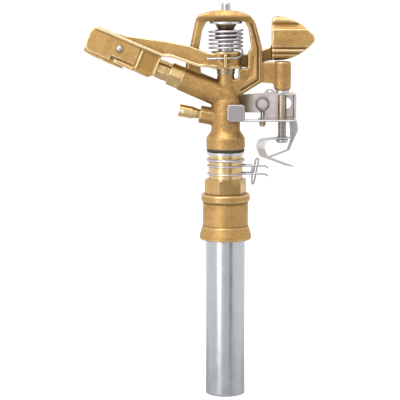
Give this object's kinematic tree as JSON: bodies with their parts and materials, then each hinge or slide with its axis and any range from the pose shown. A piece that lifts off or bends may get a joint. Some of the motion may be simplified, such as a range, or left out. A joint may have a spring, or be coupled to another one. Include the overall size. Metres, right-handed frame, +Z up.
{
  "type": "impact sprinkler",
  "caption": "Cast brass part-circle impact sprinkler with a sprung swinging arm, trip lever and wire stop clip, on a galvanised riser pipe.",
  "frame": {"origin": "centre of the riser pipe's lower end", "axes": "+Z up along the riser pipe, -X the way the barrel points, -Y the front of the picture"},
  "size_m": [0.1574, 0.0356, 0.2704],
  "materials": {
    "galvanised_steel": "galvanised, satin",
    "cast_brass": "sand cast, satin",
    "turned_brass": "turned, polished",
    "stainless": "rolled sheet and turned bar, satin",
    "spring_wire": "drawn wire, bright",
    "rubber": "matt"
  },
  "bodies": {
    "base": {"riser_pipe": "galvanised_steel", "pipe_coupling": "cast_brass", "bearing_nipple": "turned_brass", "seal_washer_upper": "stainless", "seal_washer_rubber": "rubber", "seal_washer_lower": "stainless", "thrust_washer": "stainless", "snap_ring": "spring_wire"},
    "stop_clip": {"arc_stop_clip": "spring_wire"},
    "head": {"sprinkler_body": "cast_brass", "bearing_tube": "turned_brass", "bearing_spring": "spring_wire", "dust_washer": "rubber", "range_nozzle": "turned_brass", "spreader_nozzle": "turned_brass", "fulcrum_pin": "stainless", "pivot_washer": "turned_brass", "spring_disc": "stainless", "pivot_collar": "turned_brass", "pivot_sleeve": "stainless", "trip_pin": "stainless", "trip_pin_washer": "stainless", "trip_pin_foot": "stainless", "trip_bracket": "stainless", "toggle_wire": "spring_wire", "toggle_ferrule": "turned_brass"},
    "arm": {"impact_arm": "cast_brass", "arm_bush": "stainless", "drive_spoon": "cast_brass", "spoon_rivet": "stainless", "arm_spring": "spring_wire"},
    "trip_lever": {"trip_crook": "stainless", "trip_strap": "stainless"}
  },
  "joints": [
    {"name": "head_swivel", "type": "hinge", "parent": "base", "child": "head", "pos_m": [0, 0, 0.15], "axis": [0, 0, 1], "continuous": true},
    {"name": "stop_clip_turn", "type": "hinge", "parent": "base", "child": "stop_clip", "pos_m": [0, 0, 0.156], "axis": [0, 0, 1], "continuous": true},
    {"name": "arm_swing", "type": "hinge", "parent": "head", "child": "arm", "pos_m": [0, 0, 0.235], "axis": [0, 0, 1], "range_deg": [0, 110], "stiffness_Nm_per_rad": 0.06, "springref_deg": -28.65},
    {"name": "trip_lever_flip", "type": "hinge", "parent": "head", "child": "trip_lever", "pos_m": [0.0384, 0, 0.1785], "axis": [0, 0, 1], "range_deg": [-40, 0]}
  ]
}
